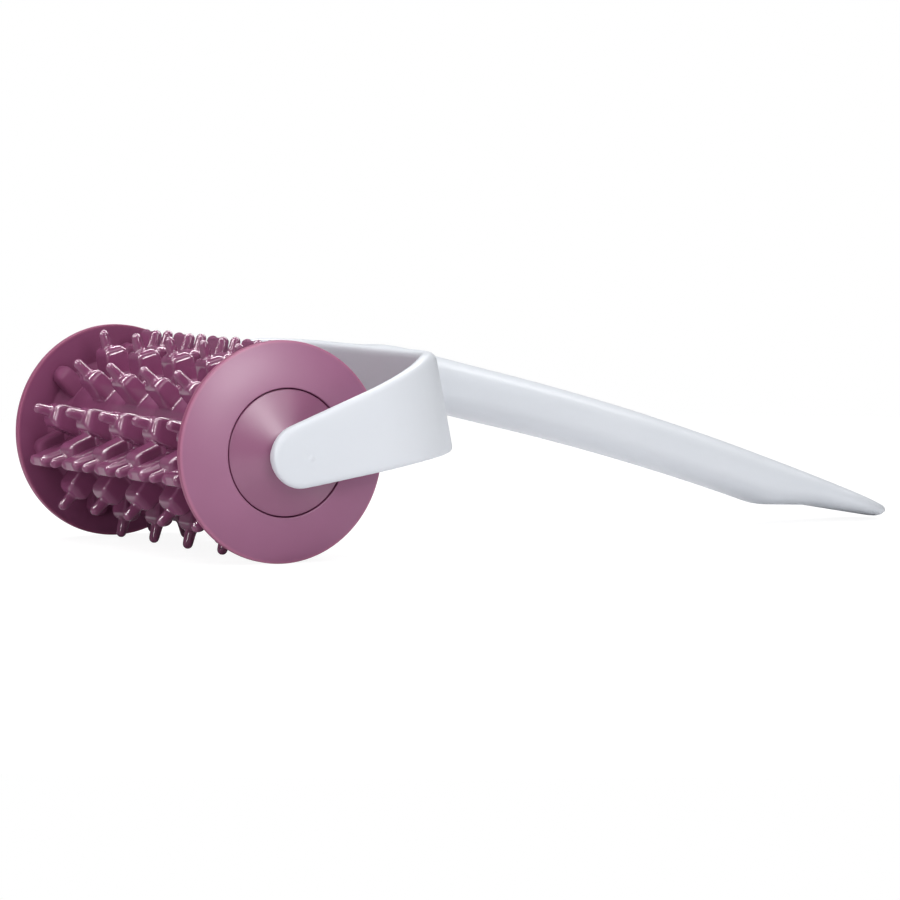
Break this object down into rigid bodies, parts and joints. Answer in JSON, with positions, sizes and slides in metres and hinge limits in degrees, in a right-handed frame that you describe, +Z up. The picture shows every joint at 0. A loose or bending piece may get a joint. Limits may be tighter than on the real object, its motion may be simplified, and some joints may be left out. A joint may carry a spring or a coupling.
{
  "type": "dough docker",
  "caption": "Hand-held dough docker: a spiked plastic roller between two end discs, spinning in a one-piece fork with a curved handle, for pricking rolled dough.",
  "frame": {"origin": "on the table, under the middle of the part's box", "axes": "+X from the roller towards the handle's tip, +Y along the axle, +Z up"},
  "size_m": [0.2266, 0.1208, 0.054],
  "materials": {
    "white_plastic": "satin moulded",
    "axle_steel": "drawn rod",
    "inner_plastic": "as moulded",
    "purple_gloss": "glossy moulded",
    "purple_satin": "satin moulded"
  },
  "bodies": {
    "frame": {"fork_handle": "white_plastic", "axle_rod": "axle_steel"},
    "roller": {"core_tube": "inner_plastic", "spike_ring_1": "purple_gloss", "spike_ring_2": "purple_gloss", "spike_ring_3": "purple_gloss", "spike_ring_4": "purple_gloss", "spike_ring_5": "purple_gloss", "spike_ring_6": "purple_gloss", "spike_ring_7": "purple_gloss", "spike_ring_8": "purple_gloss", "spike_ring_9": "purple_gloss", "end_disc_far": "purple_satin", "end_disc_near": "purple_satin", "hub_cap_far": "purple_satin", "hub_cap_near": "purple_satin"}
  },
  "joints": [
    {"name": "roller_spin", "type": "hinge", "parent": "frame", "child": "roller", "pos_m": [-0.0863, 0, 0.027], "axis": [0, 1, 0], "continuous": true}
  ]
}
